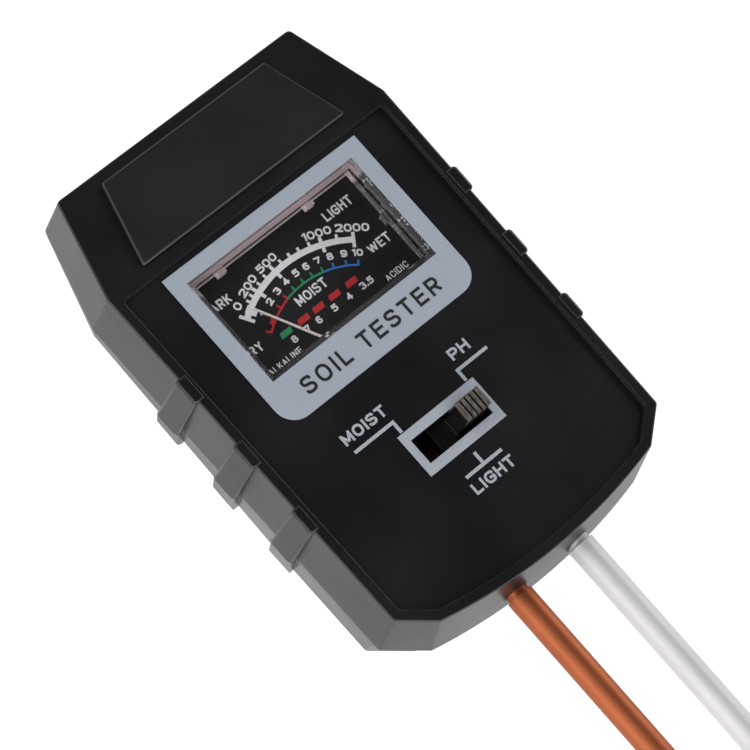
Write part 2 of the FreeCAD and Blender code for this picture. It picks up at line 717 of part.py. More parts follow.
def terminal_places():
    return [(x, SWITCH_Y + side * 2.3) for x in (-7.5, -2.5, 2.5, 7.5) for side in (-1, 1)]


def make_switch_terminals():
    top = FACE_Z - WALL
    pins = []
    for x, y in terminal_places():
        blade = box(x - 0.6, x + 0.6, y - 0.25, y + 0.25, top - 9.8, top - 4.95)
        pad = box(x - 1.6, x + 1.6, y - 0.6, y + 0.6, top - 5.2, top - 4.95)
        blade = blade.fuse(pad).removeSplitter()
        eye = Part.makeCylinder(0.3, 2, Vector(x, y - 1, top - 8.9), Vector(0, 1, 0))
        pins.append(blade.cut(eye))
    return Part.makeCompound(pins)


def make_switch_screws():
    top = FACE_Z - WALL
    return Part.makeCompound([
        screw(x, SWITCH_Y, top - 0.5, FACE_Z - 1.0, 0.8, 1.6, 0.9) for x in EARS
    ])


def make_switch_slider():
    """Moulded slide with its ridged thumb knob."""
    top = FACE_Z - WALL
    x, y = KNOB_X, SWITCH_Y
    foot = box(x - SLIDE_HALF, x + SLIDE_HALF, y - 3.6, y + 3.6, top - 3.4, top - 0.7)
    neck = box(-KNOB_LONG / 2, KNOB_LONG / 2, -KNOB_WIDE / 2, KNOB_WIDE / 2, top - 0.8, KNOB_TOP)
    neck.translate(Vector(x, y + KNOB_OFF_Y, 0))
    uprights = [e for e in neck.Edges if is_upright(e)]
    neck = neck.makeFillet(0.25, uprights)
    pitch = KNOB_LONG / KNOB_RIDGES
    for i in range(1, KNOB_RIDGES):
        groove = x - KNOB_LONG / 2 + i * pitch
        neck = neck.cut(box(groove - 0.24, groove + 0.24, y - 5, y + 5, KNOB_TOP - 0.85, KNOB_TOP + 1))
    slider = foot.fuse(neck).removeSplitter()
    bore = Part.makeCylinder(0.95, 10, Vector(x, y - 5, top - 2.2), Vector(0, 1, 0))
    for side in (-1, 1):
        pocket = box(x - 6.0, x + 6.0, y + side * 2.3 - 0.75, y + side * 2.3 + 0.75, top - 3.5, top - 3.2)
        slider = slider.cut(pocket)
    return slider.cut(bore)


def make_detent_balls():
    top = FACE_Z - WALL
    return Part.makeCompound([
        Part.makeSphere(0.85, Vector(KNOB_X, SWITCH_Y + side * 2.85, top - 2.2)) for side in (-1, 1)
    ])


def make_detent_spring():
    top = FACE_Z - WALL
    helix = Part.makeHelix(0.55, 3.8, 0.62)
    path = Part.Wire(helix)
    profile = Part.Wire(Part.makeCircle(0.11, Vector(0.62, 0, 0), Vector(0, 1, 0)))
    wire = path.makePipeShell([profile], True, True)
    wire.rotate(Vector(0, 0, 0), Vector(1, 0, 0), -90)
    wire.translate(Vector(KNOB_X, SWITCH_Y - 1.9, top - 2.2))
    return wire


def make_switch_wipers():
    """Bridging contacts under the slide, one for each row of pads."""
    top = FACE_Z - WALL
    wipers = []
    for side in (-1, 1):
        y = SWITCH_Y + side * 2.3
        strip = box(KNOB_X - 5.8, KNOB_X + 5.8, y - 0.6, y + 0.6, top - 3.6, top - 3.2)
        for end in (-1, 1):
            x = KNOB_X + end * 4.0
            dimple = Part.makeCylinder(1.15, 1.2, Vector(x, y - 0.6, top - 3.6), Vector(0, 1, 0))
            dimple = dimple.common(box(x - 2, x + 2, y - 1, y + 1, top - 4.75, top - 3.5))
            strip = strip.fuse(dimple)
        wipers.append(strip.removeSplitter())
    return Part.makeCompound(wipers)


# ================================================================ probes
def make_probe(x):
    """Solid rod with a conical point, turned as one profile."""
    shoulder = PROBE_TIP_Y + TIP_LONG
    nose_start = Vector(x, PROBE_TIP_Y, PROBE_Z)
    nose_middle = Vector(x + 0.29, PROBE_TIP_Y + 0.12, PROBE_Z)
    nose_end = Vector(x + 0.4, PROBE_TIP_Y + 0.45, PROBE_Z)
    corners = [
        (PROBE_R, shoulder),
        (PROBE_R, SHANK_Y),
        (SHANK_R, SHANK_Y),
        (SHANK_R, PROBE_IN_Y),
        (0.0, PROBE_IN_Y),
    ]
    points = [nose_end] + [Vector(x + r, y, PROBE_Z) for r, y in corners] + [nose_start]
    nose = Part.Arc(nose_start, nose_middle, nose_end).toShape()
    profile = Part.Wire([nose] + Part.makePolygon(points).Edges)
    return Part.Face(profile).revolve(nose_start, Vector(0, 1, 0), 360)


def make_probe_clamp():
    """Saddle screwed over both probes inside the body."""
    block = rounded_box(-17.0, 17.0, -38.2, -34.5, PROBE_Z - 3.7, PROBE_Z + 0.1, 1.2)
    for x in (-PROBE_X, PROBE_X):
        block = block.cut(probe_rod(x, SHANK_R + 0.02, -60, 0))
    for x, y in CLAMP_SCREWS:
        block = block.cut(cyl(1.15, x, y, 5, 25))
    return block


def make_clamp_screws():
    return Part.makeCompound([
        screw(x, y, PROBE_Z - 3.7, PROBE_Z + 4.6, 1.0, 1.75, 1.2) for x, y in CLAMP_SCREWS
    ])


def make_probe_tags():
    """Solder rings pressed on the probes' inner ends."""
    tags = []
    for x in (-PROBE_X, PROBE_X):
        ring = probe_rod(x, SHANK_R + 0.6, PROBE_IN_Y - 0.85, PROBE_IN_Y - 0.05)
        ring = ring.cut(probe_rod(x, SHANK_R + 0.01, -60, 0))
        lug = box(x - 0.8, x + 0.8, PROBE_IN_Y - 0.85, PROBE_IN_Y - 0.05, PROBE_Z - 5.2, PROBE_Z - 2.5)
        tags.append(ring.fuse(lug).removeSplitter())
    return Part.makeCompound(tags)


# ================================================================ wiring
def wire(points, radius=0.5, bend=2.2):
    """Insulated lead: straight runs joined by tangent arcs."""
    corners = [Vector(*p) for p in points]
    edges = []
    last = corners[0]
    for i in range(1, len(corners) - 1):
        a = corners[i - 1].sub(corners[i])
        b = corners[i + 1].sub(corners[i])
        ua = unit(a)
        ub = unit(b)
        angle = ua.getAngle(ub)
        reach = min(bend / math.tan(angle / 2), a.Length * 0.48, b.Length * 0.48)
        arc_r = reach * math.tan(angle / 2)
        enter = corners[i] + ua * reach
        leave = corners[i] + ub * reach
        halfway = unit(ua + ub)
        centre = corners[i] + halfway * (arc_r / math.sin(angle / 2))
        middle = centre - halfway * arc_r
        edges.append(Part.makeLine(last, enter))
        edges.append(Part.Arc(enter, middle, leave).toShape())
        last = leave
    edges.append(Part.makeLine(last, corners[-1]))
    path = Part.Wire(edges)
    way = corners[1].sub(corners[0])
    profile = Part.Wire(Part.makeCircle(radius, corners[0], way))
    return path.makePipeShell([profile], True, False)


def resistor(x, y, z):
    """Axial resistor lying along X across the feet of two terminals."""
    body = Part.makeCylinder(0.85, 3.6, Vector(x - 1.8, y, z), Vector(1, 0, 0))
    for end in (-1.8, 1.0):
        cap = Part.makeCylinder(1.0, 0.8, Vector(x + end, y, z), Vector(1, 0, 0))
        body = body.fuse(cap)
    lead = Part.makeCylinder(0.25, 6.2, Vector(x - 3.1, y, z), Vector(1, 0, 0))
    return body.fuse(lead).removeSplitter()


def make_resistors():
    z = FACE_Z - WALL - 9.8 - 0.26
    return Part.makeCompound([resistor(side * 5.0, SWITCH_Y - 2.3, z) for side in (-1, 1)])


def export(name, shape):
    if not shape.isValid():
        print("warning: not valid:", name)
    shape.exportStep("parts/" + name + ".step")
    print("%-20s solids %d  volume %.1f" % (name, len(shape.Solids), shape.Volume))


def probe_wire(side):
    x = side * PROBE_X
    y = SWITCH_Y - 3.1
    z = PROBE_Z - 4.6
    return wire([(x, PROBE_IN_Y - 0.05, z), (x, -28.0, z), (side * 7.5, y, z + 0.4),
                 (side * 7.5, y, 15.0)])


def meter_wire(side):
    x = side * 17.0
    y = SWITCH_Y + 3.1
    return wire([(x, METER_PIN_Y, TERMINAL_Z), (x, y, TERMINAL_Z), (side * 7.5, y, 9.5),
                 (side * 7.5, y, 15.0)])


def cell_wire(side):
    y = SWITCH_Y + 3.1
    return wire([(side * 9.0, 33.4, 21.6), (side * 9.0, 33.4, 18.8), (side * 24.2, 30.6, 16.6),
                 (side * 24.2, y + 1.7, 10.6), (side * 2.5, y + 1.7, 10.6),
                 (side * 2.5, y, 12.4), (side * 2.5, y, 15.0)])


NODES = {
    "front_shell": make_front_shell(),
    "rear_shell": make_rear_shell(),
    "shell_screws": make_shell_screws(),
    "label_plate": make_label(),
    "light_window": make_light_window(),
    "photocell": make_photocell(),
    "cell_board": make_cell_board(),
    "meter_base": make_meter_base(),
    "meter_terminals": make_meter_terminals(),
    "meter_cover": make_meter_cover(),
    "dial_plate": make_dial(),
    "dial_screws": make_dial_screws(),
    "stop_posts": make_stop_posts(),
    "return_yoke": make_yoke(),
    "core_magnet": make_core(),
    "core_clip": make_core_clip(),
    "moving_coil": make_coil(),
    "coil_pivots": make_staff(),
    "needle": make_needle(),
    "balance_weights": make_weights(),
    "hairspring_upper": make_hairspring(UPPER_SPRING_Z),
    "hairspring_lower": make_hairspring(LOWER_SPRING_Z),
    "zero_arm": make_zero_arm(),
    "meter_bridge": make_bridge(),
    "bridge_screws": make_bridge_screws(),
    "bearing_screws": make_bearing_screws(),
    "switch_can": make_switch_can(),
    "switch_board": make_switch_board(),
    "switch_terminals": make_switch_terminals(),
    "switch_screws": make_switch_screws(),
    "switch_slider": make_switch_slider(),
    "switch_wipers": make_switch_wipers(),
    "detent_balls": make_detent_balls(),
    "detent_spring": make_detent_spring(),
    "copper_probe": make_probe(-PROBE_X),
    "alloy_probe": make_probe(PROBE_X),
    "probe_clamp": make_probe_clamp(),
    "clamp_screws": make_clamp_screws(),
    "probe_tags": make_probe_tags(),
    "resistors": make_resistors(),
    "probe_wire_red": probe_wire(-1),
    "probe_wire_black": probe_wire(1),
    "meter_wire_red": meter_wire(-1),
    "meter_wire_black": meter_wire(1),
    "cell_wire_red": cell_wire(-1),
    "cell_wire_black": cell_wire(1),
}

os.makedirs("parts", exist_ok=True)
for node, solid in NODES.items():
    export(node, solid)
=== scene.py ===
# %% [markdown]
# # A garden soil tester
# The object is a flat black hand instrument: a moulded body, a needle dial behind a clear window, a slide switch,
# a light window on the sloped end and two long probes. Its parts come ready-made from the CAD model, at real size,
# in metres. What is left for this lesson is everything the eye reads: finishes, printing, light and camera.

# %% Load the CAD model
import itertools
import json
import math
import bmesh
import bpy
from mathutils import Matrix, Vector


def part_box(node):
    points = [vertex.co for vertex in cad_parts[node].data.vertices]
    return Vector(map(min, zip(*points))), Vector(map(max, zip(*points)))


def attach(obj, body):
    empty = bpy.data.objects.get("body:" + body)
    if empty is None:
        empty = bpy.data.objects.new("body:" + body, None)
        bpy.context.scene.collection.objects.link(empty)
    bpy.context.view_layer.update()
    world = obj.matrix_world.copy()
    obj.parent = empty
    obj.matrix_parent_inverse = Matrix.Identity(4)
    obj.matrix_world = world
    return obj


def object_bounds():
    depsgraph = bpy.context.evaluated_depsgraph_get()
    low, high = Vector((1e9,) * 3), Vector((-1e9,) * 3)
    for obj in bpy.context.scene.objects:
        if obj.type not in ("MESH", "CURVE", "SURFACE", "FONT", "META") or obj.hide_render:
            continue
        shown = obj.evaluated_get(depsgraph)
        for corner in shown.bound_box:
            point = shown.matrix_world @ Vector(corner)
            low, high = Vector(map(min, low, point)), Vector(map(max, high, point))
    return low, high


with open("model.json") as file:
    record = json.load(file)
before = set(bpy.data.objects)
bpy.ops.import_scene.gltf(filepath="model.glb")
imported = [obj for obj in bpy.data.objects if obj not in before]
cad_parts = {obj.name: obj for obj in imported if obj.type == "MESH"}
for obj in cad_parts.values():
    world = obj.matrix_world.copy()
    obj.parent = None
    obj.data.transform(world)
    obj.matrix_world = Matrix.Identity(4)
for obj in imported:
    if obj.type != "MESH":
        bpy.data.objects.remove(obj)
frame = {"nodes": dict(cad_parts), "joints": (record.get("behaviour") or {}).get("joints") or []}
cad_low, cad_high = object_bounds()
MM = 0.001
print("CAD nodes:", len(frame["nodes"]))
print("CAD box in mm:", [round(c / MM, 1) for c in cad_high - cad_low])

# %% [markdown]
# ## Where things are
# Nothing here is measured twice. The face, the dial, the pointer's pivot and the switch are read from the CAD
# nodes' own boxes and from the joint, so a change in the CAD model carries through to the printing.

# %% Landmarks taken from the CAD nodes
label_low, label_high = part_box("label_plate")
can_low, can_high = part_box("switch_can")
cover_far_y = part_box("meter_cover")[1].y
knob_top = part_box("switch_slider")[1].z
face_z = label_low.z
label_z = label_high.z
dial_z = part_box("dial_plate")[1].z
pivot = next(Vector(j["pos_m"]) for j in frame["joints"] if j["name"] == "pointer_pivot")
switch = (can_low + can_high) / 2
print("face at", round(face_z / MM, 2), "dial at", round(dial_z / MM, 2), "mm")

# %% [markdown]
# ## A starting point for every finish
# Each finish is a Principled shader fed by procedural textures. Object coordinates are used throughout: the CAD
# nodes sit at the origin, so one unit is one metre, and a noise scale of 3000 means grains a third of a
# millimetre across. That keeps every grain at its true size on every piece.

# %% Material helpers
def new_finish(name):
    material = bpy.data.materials.new(name)
    material.use_nodes = True
    tree = material.node_tree
    shader = tree.nodes["Principled BSDF"]
    place = tree.nodes.new("ShaderNodeTexCoord")
    return material, tree, shader, place.outputs["Object"]


def noise(tree, coords, scale, detail=2.0, roughness=0.5):
    texture = tree.nodes.new("ShaderNodeTexNoise")
    texture.inputs["Scale"].default_value = scale
    texture.inputs["Detail"].default_value = detail
    texture.inputs["Roughness"].default_value = roughness
    tree.links.new(coords, texture.inputs["Vector"])
    return texture.outputs["Fac"]


def stretched(tree, coords, scale):
    """The same coordinates squeezed along some axes, for streaks and brush marks."""
    mapping = tree.nodes.new("ShaderNodeMapping")
    mapping.inputs["Scale"].default_value = scale
    tree.links.new(coords, mapping.inputs["Vector"])
    return mapping.outputs["Vector"]


def blend_colours(tree, factor, stops):
    """A colour ramp from (position, colour) pairs."""
    ramp = tree.nodes.new("ShaderNodeValToRGB")
    ramp.color_ramp.elements[0].position = stops[0][0]
    ramp.color_ramp.elements[0].color = (*stops[0][1], 1)
    ramp.color_ramp.elements[1].position = stops[-1][0]
    ramp.color_ramp.elements[1].color = (*stops[-1][1], 1)
    for position, colour in stops[1:-1]:
        stop = ramp.color_ramp.elements.new(position)
        stop.color = (*colour, 1)
    tree.links.new(factor, ramp.inputs["Fac"])
    return ramp.outputs["Color"]


def spread(tree, factor, low, high):
    """Turns a 0 to 1 texture into a range such as a roughness."""
    remap = tree.nodes.new("ShaderNodeMapRange")
    remap.inputs["From Min"].default_value = 0.3
    remap.inputs["From Max"].default_value = 0.7
    remap.inputs["To Min"].default_value = low
    remap.inputs["To Max"].default_value = high
    tree.links.new(factor, remap.inputs["Value"])
    return remap.outputs["Result"]


print("helpers ready")

# %% [markdown]
# ## Edges that catch the light
# No moulded or turned edge is perfectly sharp. The Bevel node rounds only the shading of an edge, over a radius
# given in metres, which is cheaper than cutting a real bevel on every CAD piece and leaves their meshes alone.
# The bump of the surface grain is then laid over that rounded normal.

# %% Relief: rounded edges plus surface grain
def relief(tree, shader, height, depth, edge=0.22 * MM):
    rounding = tree.nodes.new("ShaderNodeBevel")
    rounding.samples = 4
    rounding.inputs["Radius"].default_value = edge
    bump = tree.nodes.new("ShaderNodeBump")
    bump.inputs["Strength"].default_value = 1.0
    bump.inputs["Distance"].default_value = depth
    tree.links.new(height, bump.inputs["Height"])
    tree.links.new(rounding.outputs["Normal"], bump.inputs["Normal"])
    tree.links.new(bump.outputs["Normal"], shader.inputs["Normal"])


print("relief ready")

# %% [markdown]
# ## The moulded body
# The shells are black ABS with a spark-eroded texture: tiny rounded grains about 0.3 mm apart that make the face
# matt. Two noises make the grain, and a broad faint one stands for the uneven gloss that moulding leaves.

# %% Moulded black plastic
def moulded_plastic(name, dark, light, rough, grain_depth, grain_scale=3200, edge=0.22 * MM):
    material, tree, shader, coords = new_finish(name)
    grain = noise(tree, coords, grain_scale, detail=3)
    broad = noise(tree, coords, 45, detail=2)
    colour = blend_colours(tree, grain, [(0.35, dark), (0.68, light)])
    tree.links.new(colour, shader.inputs["Base Color"])
    tree.links.new(spread(tree, broad, rough - 0.05, rough + 0.05), shader.inputs["Roughness"])
    relief(tree, shader, grain, grain_depth, edge)
    return material


body_black = moulded_plastic("body_black", (0.0018, 0.0018, 0.0024), (0.004, 0.004, 0.0054), 0.37, 0.010 * MM)
meter_black = moulded_plastic("meter_black", (0.008, 0.008, 0.008), (0.012, 0.012, 0.012), 0.36, 0.004 * MM)
smoked_window = moulded_plastic("smoked_window", (0.007, 0.007, 0.009), (0.011, 0.011, 0.014), 0.36, 0.004 * MM, 4200)
print("plastics:", body_black.name, meter_black.name, smoked_window.name)

# %% [markdown]
# ## The label
# The label is a printed foil: blue-grey with fine metallic specks. A Voronoi texture with cells of 0.25 mm gives
# the specks, and a slow noise keeps the sheet from being one flat tone.

# %% Printed foil
def printed_foil(name, base, fleck):
    material, tree, shader, coords = new_finish(name)
    specks = tree.nodes.new("ShaderNodeTexVoronoi")
    specks.inputs["Scale"].default_value = 4000
    tree.links.new(coords, specks.inputs["Vector"])
    colour = blend_colours(tree, specks.outputs["Distance"], [(0.05, fleck), (0.45, base), (0.9, base)])
    tree.links.new(colour, shader.inputs["Base Color"])
    slow = noise(tree, coords, 90)
    tree.links.new(spread(tree, slow, 0.34, 0.46), shader.inputs["Roughness"])
    shader.inputs["Metallic"].default_value = 0.15
    relief(tree, shader, specks.outputs["Distance"], 0.002 * MM, edge=0.06 * MM)
    return material


label_foil = printed_foil("label_foil", (0.342, 0.382, 0.445), (0.434, 0.470, 0.528))
print("label:", label_foil.name)

# %% [markdown]
# ## Inks
# Screen-printed ink is a film a few hundredths of a millimetre thick, slightly mottled because it follows the
# grain below it. Each colour is its own finish and each print will be its own thin piece, which keeps edges crisp
# at any distance. An image texture would blur and would tie the print to one resolution.

# %% Ink finishes
def ink_finish(name, colour, rough=0.42):
    material, tree, shader, coords = new_finish(name)
    mottle = noise(tree, coords, 2600, detail=2)
    thin = tuple(c * 0.86 for c in colour)
    shade = blend_colours(tree, mottle, [(0.32, thin), (0.6, colour)])
    tree.links.new(shade, shader.inputs["Base Color"])
    tree.links.new(spread(tree, mottle, rough, rough + 0.12), shader.inputs["Roughness"])
    relief(tree, shader, mottle, 0.002 * MM, edge=0.02 * MM)
    return material


pale_ink = ink_finish("pale_ink", (0.355, 0.385, 0.432))
title_ink = ink_finish("title_ink", (0.008, 0.008, 0.009))
dial_white = ink_finish("dial_white", (0.86, 0.87, 0.90))
dial_red = ink_finish("dial_red", (0.52, 0.012, 0.020))
dial_green = ink_finish("dial_green", (0.016, 0.30, 0.11))
dial_blue = ink_finish("dial_blue", (0.025, 0.20, 0.62))
dial_enamel = moulded_plastic("dial_enamel", (0.003, 0.003, 0.0035), (0.005, 0.005, 0.006), 0.36, 0.001 * MM)
pointer_cream = ink_finish("pointer_cream", (0.78, 0.73, 0.66), 0.3)
print("inks ready")

# %% [markdown]
# ## The clear window
# The meter's lid is clear polystyrene. Its pane and walls are polished and bend light like glass. The lower end of
# the skirt and its small hooks are made milky and rougher, strongly on the far side and only faintly on the others,
# and the top of the walls has faint upright draw marks. Seen down through the pane, the milky end makes the pale band
# at the far edge.
# Lamps can't see through refraction without slow caustics, so shadow rays are given a plain transparent shader.

# %% Clear plastic with milky ends
def maths(tree, operation, first, second):
    """One sum: each side is a socket or a constant."""
    sum_node = tree.nodes.new("ShaderNodeMath")
    sum_node.operation = operation
    for value, socket in zip((first, second), sum_node.inputs):
        if isinstance(value, (int, float)):
            socket.default_value = value
        else:
            tree.links.new(value, socket)
    return sum_node.outputs["Value"]


def between(tree, value, start, end, low=0.0, high=1.0):
    """Goes from low to high while the value goes from start to end."""
    remap = tree.nodes.new("ShaderNodeMapRange")
    for name, constant in (("From Min", start), ("From Max", end), ("To Min", low), ("To Max", high)):
        remap.inputs[name].default_value = constant
    tree.links.new(value, remap.inputs["Value"])
    return remap.outputs["Result"]


def upright_share(tree):
    """1 on upright walls, 0 on level faces."""
    geometry = tree.nodes.new("ShaderNodeNewGeometry")
    split = tree.nodes.new("ShaderNodeSeparateXYZ")
    tree.links.new(geometry.outputs["True Normal"], split.inputs["Vector"])
    return between(tree, maths(tree, "ABSOLUTE", split.outputs["Z"], 0.0), 0.7, 0.3)


def clear_plastic(name, tint, milky):
    material, tree, shader, coords = new_finish(name)
    split = tree.nodes.new("ShaderNodeSeparateXYZ")
    tree.links.new(coords, split.inputs["Vector"])
    z = split.outputs["Z"]
    marks = noise(tree, stretched(tree, coords, (1, 1, 0.03)), 2600, detail=3)
    # the skirt end is milky in full on the far side and at 6% on the other sides
    far_side = between(tree, split.outputs["Y"], cover_far_y - 5.2 * MM, cover_far_y - 4.2 * MM, 0.06, 1.0)
    milky_skirt_end = maths(tree, "MULTIPLY", far_side, between(tree, z, face_z - 3.3 * MM, face_z - 3.7 * MM))
    drawn_top = between(tree, z, face_z - 1.3 * MM, face_z - 0.9 * MM)
    drawn = maths(tree, "MULTIPLY", maths(tree, "MULTIPLY", upright_share(tree), drawn_top),
                  between(tree, marks, 0.42, 0.62, 0.0, 0.07))
    milk = maths(tree, "MAXIMUM", milky_skirt_end, drawn)
    shader.inputs["IOR"].default_value = 1.49
    shade = blend_colours(tree, milk, [(0.0, tint), (1.0, milky)])
    tree.links.new(shade, shader.inputs["Base Color"])
    tree.links.new(between(tree, milk, 0.0, 1.0, 1.0, 0.25), shader.inputs["Transmission Weight"])
    tree.links.new(between(tree, milk, 0.0, 1.0, 0.02, 0.35), shader.inputs["Roughness"])
    relief(tree, shader, noise(tree, coords, 300, detail=2), 0.002 * MM, edge=0.08 * MM)
    through = tree.nodes.new("ShaderNodeBsdfTransparent")
    path = tree.nodes.new("ShaderNodeLightPath")
    mix = tree.nodes.new("ShaderNodeMixShader")
    tree.links.new(path.outputs["Is Shadow Ray"], mix.inputs["Fac"])
    tree.links.new(shader.outputs["BSDF"], mix.inputs[1])
    tree.links.new(through.outputs["BSDF"], mix.inputs[2])
    tree.links.new(mix.outputs["Shader"], tree.nodes["Material Output"].inputs["Surface"])
    return material


window_clear = clear_plastic("window_clear", (0.98, 0.97, 0.97), (0.60, 0.50, 0.51))
print("window:", window_clear.name)

# %% [markdown]
# ## The switch knob
# The ridge tops of the knob are painted greyer than its sides, a painted highlight for the sheen the ridges catch,
# and they are duller. The height above the face decides how much of the highlight a spot gets, and a fine grain
# breaks up the border.

# %% Knob with painted highlight on its ridge tops
def worn_plastic(name, dark, highlight_grey, top, depth):
    """Black plastic with a painted grey highlight over the last bit below its top."""
    material, tree, shader, coords = new_finish(name)
    split = tree.nodes.new("ShaderNodeSeparateXYZ")
    tree.links.new(coords, split.inputs["Vector"])
    grain = noise(tree, stretched(tree, coords, (1, 0.25, 1)), 4200, detail=4)
    # painted highlight: the last bit below the top is greyed as if lit
    highlight_band = between(tree, split.outputs["Z"], top - depth, top - depth * 0.45)
    share = maths(tree, "MULTIPLY", highlight_band, between(tree, grain, 0.35, 0.60, 0.25, 1.0))
    tree.links.new(blend_colours(tree, share, [(0.0, dark), (1.0, highlight_grey)]), shader.inputs["Base Color"])
    tree.links.new(between(tree, share, 0.0, 1.0, 0.22, 0.38), shader.inputs["Roughness"])
    relief(tree, shader, grain, 0.004 * MM, 0.26 * MM)
    return material


# the grey second colour is a painted highlight on the ridge tops
knob_black = worn_plastic("knob_black", (0.004, 0.0035, 0.003), (0.125, 0.108, 0.092), knob_top, 0.8 * MM)
print("knob:", knob_black.name)

# %% [markdown]
# ## Metals
# Drawn rod shows fine lines along its length, turned and stamped parts a finer all-over grain. The lines are a
# noise squeezed hard along one axis; they move the roughness more than the colour, which is how scratches read.
# Copper also tarnishes in soft patches, so it has a slow second colour.

# %% Metal finishes
def metal(name, colour, dull, rough, streaks=(1, 1, 1), depth=0.001 * MM, scale=1800, metallic=1.0):
    material, tree, shader, coords = new_finish(name)
    lines = noise(tree, stretched(tree, coords, streaks), scale, detail=4, roughness=0.6)
    patches = noise(tree, coords, 55, detail=4)
    shade = blend_colours(tree, patches, [(0.36, dull), (0.62, colour)])
    tree.links.new(shade, shader.inputs["Base Color"])
    shader.inputs["Metallic"].default_value = metallic
    tree.links.new(spread(tree, lines, rough - 0.06, rough + 0.10), shader.inputs["Roughness"])
    relief(tree, shader, lines, depth, edge=0.06 * MM)
    return material


ALONG_Y = (1, 0.003, 1)
copper_rod = metal("copper_rod", (0.38, 0.108, 0.043), (0.33, 0.092, 0.036), 0.50, ALONG_Y, 0.0003 * MM, 7000, 0.85)
alloy_rod = metal("alloy_rod", (0.61, 0.605, 0.615), (0.57, 0.57, 0.58), 0.62, ALONG_Y, 0.0003 * MM, 7000, 0.6)
brass_turned = metal("brass_turned", (0.75, 0.55, 0.24), (0.62, 0.44, 0.18), 0.26)
zinc_steel = metal("zinc_steel", (0.66, 0.67, 0.68), (0.52, 0.53, 0.55), 0.28)
nickel_can = metal("nickel_can", (0.62, 0.60, 0.57), (0.50, 0.48, 0.45), 0.30, (0.05, 1, 1))
soft_iron = metal("soft_iron", (0.34, 0.34, 0.35), (0.26, 0.26, 0.27), 0.38)
magnet_alloy = metal("magnet_alloy", (0.24, 0.24, 0.26), (0.17, 0.17, 0.18), 0.5, depth=0.004 * MM)
satin_aluminium = metal("satin_aluminium", (0.76, 0.77, 0.78), (0.66, 0.67, 0.69), 0.33, (0.05, 1, 1))
spring_bronze = metal("spring_bronze", (0.70, 0.48, 0.26), (0.58, 0.38, 0.20), 0.24)
print("metals ready")

# %% [markdown]
# ## The pieces inside
# Inside pieces are mostly out of sight, but the model can be taken apart, so each has its own finish: the
# coil shows its turns of enamelled wire, the light cell its thin collecting lines, the boards their fibres and the
# leads the slight waxiness of their insulation.

# %% Coil, light cell, boards and leads
def banded(name, first, second, scale, direction, rough, metallic=0.0):
    """Fine parallel bands: wire turns or the lines on a light cell."""
    material, tree, shader, coords = new_finish(name)
    bands = tree.nodes.new("ShaderNodeTexWave")
    bands.bands_direction = direction
    bands.inputs["Scale"].default_value = scale
    bands.inputs["Distortion"].default_value = 0.4
    tree.links.new(coords, bands.inputs["Vector"])
    shade = blend_colours(tree, bands.outputs["Fac"], [(0.2, first), (0.75, second)])
    tree.links.new(shade, shader.inputs["Base Color"])
    shader.inputs["Metallic"].default_value = metallic
    tree.links.new(spread(tree, bands.outputs["Fac"], rough, rough + 0.1), shader.inputs["Roughness"])
    relief(tree, shader, bands.outputs["Fac"], 0.01 * MM)
    return material


coil_winding = banded("coil_winding", (0.20, 0.06, 0.02), (0.62, 0.24, 0.10), 1600, "Z", 0.3, 0.8)
cell_glass = banded("cell_glass", (0.02, 0.03, 0.11), (0.04, 0.05, 0.16), 150, "X", 0.12)
fibre_board = moulded_plastic("fibre_board", (0.26, 0.15, 0.06), (0.40, 0.25, 0.12), 0.5, 0.008 * MM, 1500)
phenolic_board = moulded_plastic("phenolic_board", (0.022, 0.012, 0.007), (0.036, 0.019, 0.011), 0.4, 0.004 * MM)
resistor_tan = moulded_plastic("resistor_tan", (0.58, 0.44, 0.24), (0.68, 0.54, 0.32), 0.3, 0.003 * MM)
lead_red = moulded_plastic("lead_red", (0.40, 0.02, 0.015), (0.50, 0.03, 0.02), 0.38, 0.004 * MM)
lead_black = moulded_plastic("lead_black", (0.012, 0.012, 0.012), (0.022, 0.022, 0.022), 0.38, 0.004 * MM)
print("inside finishes ready")

# %% [markdown]
# ## Dressing the CAD nodes
# One table says which finish each node wears. Keeping it in one place makes it easy to see that no node is left
# out, and the check below stops the script if one is.

# %% Give every CAD node its finish
WEARS = {
    body_black: ["front_shell", "rear_shell"],
    meter_black: ["meter_base", "probe_clamp"],
    knob_black: ["switch_slider"],
    smoked_window: ["light_window"],
    label_foil: ["label_plate"],
    window_clear: ["meter_cover"],
    dial_enamel: ["dial_plate"],
    pointer_cream: ["needle"],
    copper_rod: ["copper_probe"],
    alloy_rod: ["alloy_probe"],
    brass_turned: ["meter_terminals", "stop_posts", "balance_weights", "bridge_screws", "bearing_screws",
                   "switch_terminals", "switch_wipers", "probe_tags"],
    zinc_steel: ["shell_screws", "dial_screws", "switch_screws", "clamp_screws", "coil_pivots",
                 "detent_balls", "detent_spring"],
    nickel_can: ["switch_can"],
    soft_iron: ["return_yoke"],
    magnet_alloy: ["core_magnet"],
    satin_aluminium: ["core_clip", "zero_arm", "meter_bridge"],
    coil_winding: ["moving_coil"],
    spring_bronze: ["hairspring_upper", "hairspring_lower"],
    cell_glass: ["photocell"],
    fibre_board: ["cell_board"],
    phenolic_board: ["switch_board"],
    resistor_tan: ["resistors"],
    lead_red: ["probe_wire_red", "meter_wire_red", "cell_wire_red"],
    lead_black: ["probe_wire_black", "meter_wire_black", "cell_wire_black"],
}
bare = set(frame["nodes"])
for finish, names in WEARS.items():
    for name in names:
        node = frame["nodes"][name]
        node.data.materials.clear()
        node.data.materials.append(finish)
        bare.discard(name)
if bare:
    raise ValueError("no finish for " + ", ".join(sorted(bare)))
print("dressed", len(frame["nodes"]), "nodes")

# %% [markdown]
# ## How print is made
# A print is drawn flat in millimetres as bars, arcs and letters, collected in one bmesh, and then given the
# thickness of an ink film by a Solidify modifier. Where two strokes cross, their faces would lie in exactly the
# same plane and shade each other black, so every stroke is laid half a thousandth of a millimetre above the last.

# %% Drawing helpers
LEVELS = itertools.cycle(range(31))
LAYER = 0.0005 * MM


